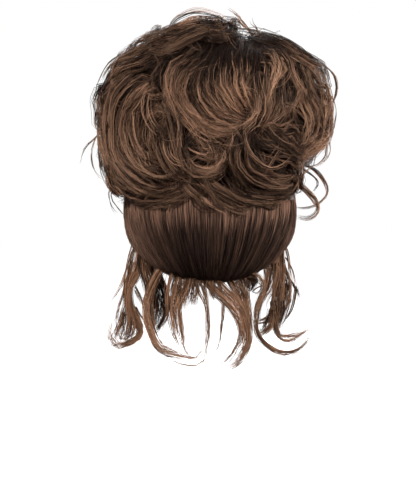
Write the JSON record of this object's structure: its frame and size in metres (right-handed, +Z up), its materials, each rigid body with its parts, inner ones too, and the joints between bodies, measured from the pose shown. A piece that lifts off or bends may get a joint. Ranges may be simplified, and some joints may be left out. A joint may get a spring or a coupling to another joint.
{
  "type": "updo wig",
  "caption": "Brunette updo wig with a full crown of loose curls, a smooth combed back and wavy locks at the nape, on an open net cap.",
  "frame": {"origin": "inside of the cap at the top, where the crown of the wearer's head bears on it", "axes": "+Z up, +Y towards the face opening, so the back of the wig faces -Y; +X is the wearer's right"},
  "size_m": [0.2595, 0.2282, 0.3738],
  "materials": {
    "net": "matt knitted net with sewn wefts",
    "hair_combed": "smooth combed fibre, satin sheen",
    "hair_teased": "matt teased fibre",
    "hair_curled": "curled fibre, satin sheen",
    "hair_tendril": "loose waved fibre, satin sheen"
  },
  "bodies": {
    "root": {"cap": "net", "comb_back": "hair_combed", "comb_right": "hair_combed", "comb_front": "hair_combed", "comb_left": "hair_combed", "crown_base": "hair_teased", "centre_sweep_outer": "hair_curled", "centre_sweep_middle": "hair_curled", "centre_sweep_inner": "hair_curled", "left_coil_outer": "hair_curled", "left_coil_middle": "hair_curled", "left_coil_inner": "hair_curled", "left_coil_eye": "hair_curled", "upper_left_sweep_high": "hair_curled", "upper_left_sweep_low": "hair_curled", "left_outer_fall": "hair_curled", "lower_centre_roll": "hair_curled", "right_coil_outer": "hair_curled", "right_coil_inner": "hair_curled", "right_under_sweep": "hair_curled", "right_lobe_low": "hair_curled", "right_lobe_outer": "hair_curled", "right_lobe_inner": "hair_curled", "right_fall_middle": "hair_curled", "bottom_left_roll": "hair_curled", "bottom_centre_sweep": "hair_curled", "bottom_right_roll": "hair_curled", "top_arch": "hair_curled", "side_curl_upper_right": "hair_curled", "side_curl_inner_right": "hair_curled", "side_curl_lower_right": "hair_curled", "side_curl_upper_left": "hair_curled", "side_curl_inner_left": "hair_curled", "side_curl_lower_left": "hair_curled", "front_roll_left": "hair_curled", "front_roll_right": "hair_curled", "front_roll_centre": "hair_curled", "top_curl_left": "hair_curled", "top_curl_right": "hair_curled", "top_curl_centre": "hair_curled", "ringlet_upper": "hair_curled", "ringlet_lower": "hair_curled", "nape_left_outer": "hair_tendril", "nape_left_front": "hair_tendril", "nape_left_cross": "hair_tendril", "nape_left_hook": "hair_tendril", "nape_centre": "hair_tendril", "nape_right_dark": "hair_tendril", "nape_right_light": "hair_tendril", "nape_right_flick": "hair_tendril", "nape_right_inner": "hair_tendril", "nape_right_middle": "hair_tendril", "nape_right_outer": "hair_tendril", "nape_right_front": "hair_tendril"}
  },
  "joints": []
}
